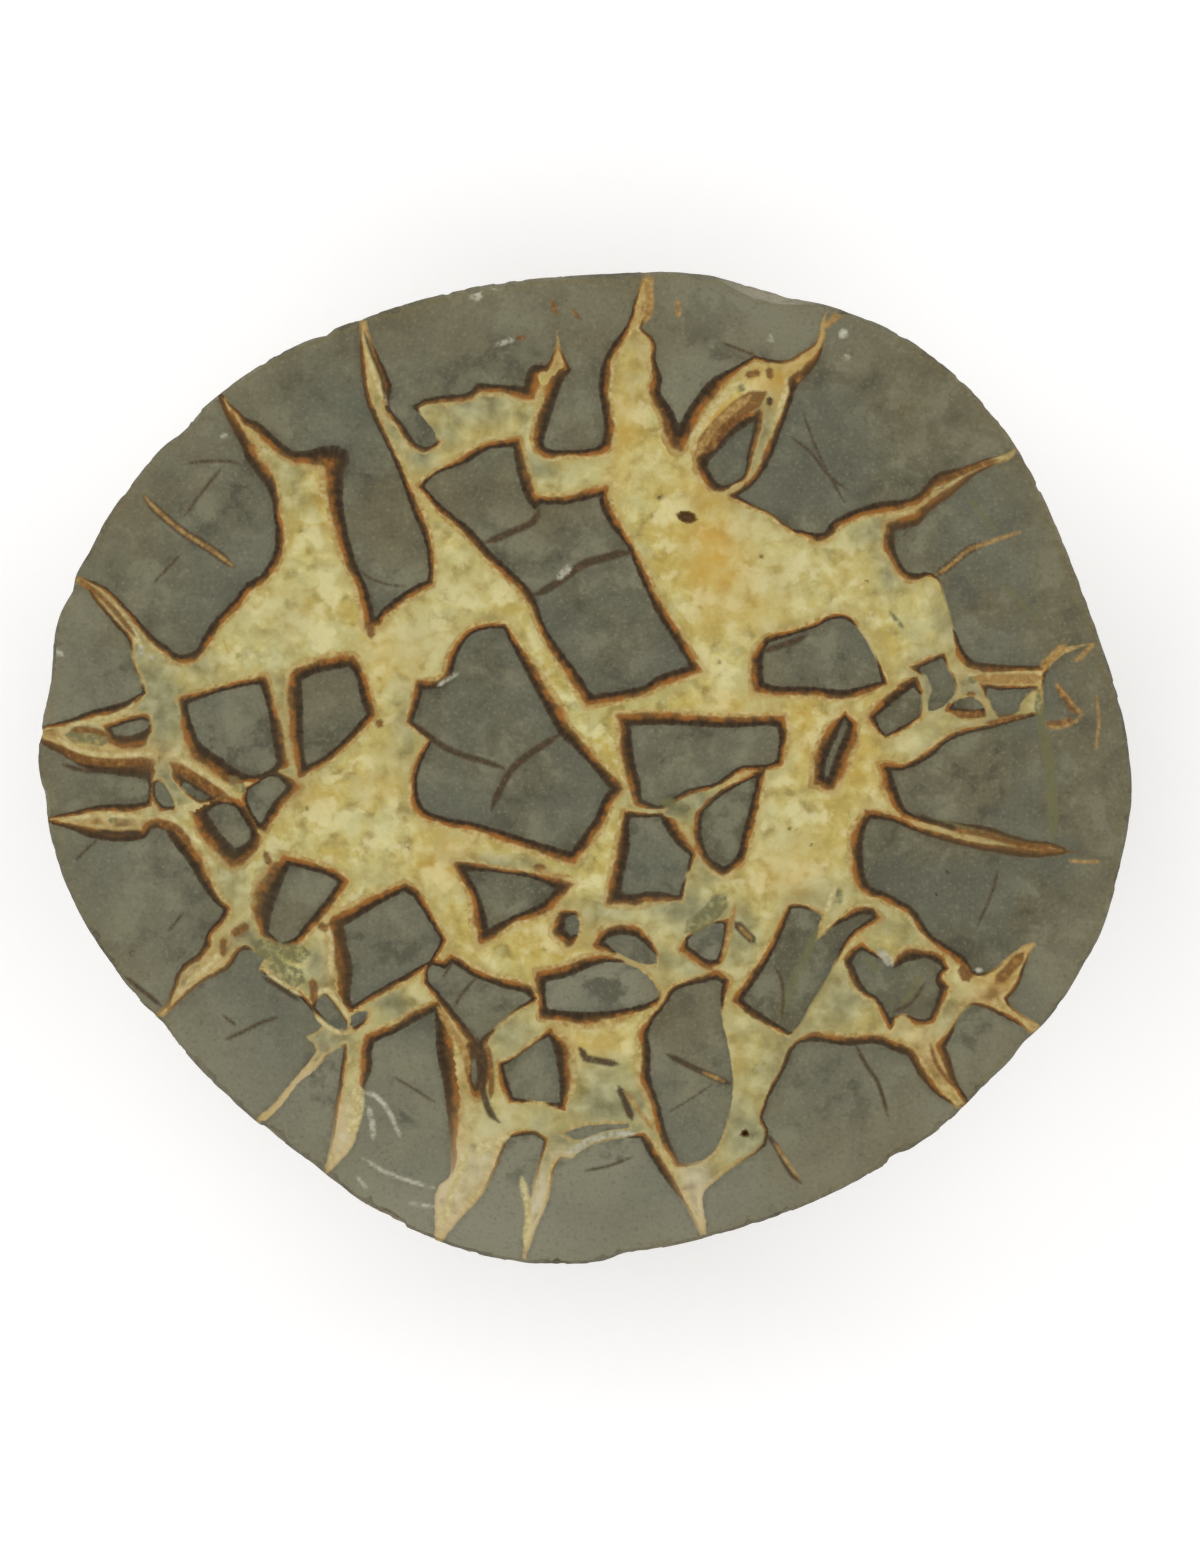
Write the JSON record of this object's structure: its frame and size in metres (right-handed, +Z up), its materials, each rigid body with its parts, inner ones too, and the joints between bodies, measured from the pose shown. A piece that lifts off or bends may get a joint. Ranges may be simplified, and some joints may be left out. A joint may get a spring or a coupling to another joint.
{
  "type": "septarian nodule",
  "caption": "Half of a septarian nodule: a polished cut face of grey limestone blocks parted by honey-coloured calcite veins, over a lumpy natural rind that rests on a small flat spot.",
  "frame": {"origin": "on the resting surface, under the middle of the nodule's bounding box", "axes": "+Z up, the outward normal of the polished cut face; +X along the cut face's longest measure; +Y across it, towards the side with the pale chip on the rim"},
  "size_m": [0.1204, 0.1092, 0.044],
  "materials": {
    "stone": "polished cut face of grey-brown limestone with dark brown and honey-coloured vein walls and pale yellow calcite; dull weathered rind below"
  },
  "bodies": {
    "root": {"nodule": "stone"}
  },
  "joints": []
}
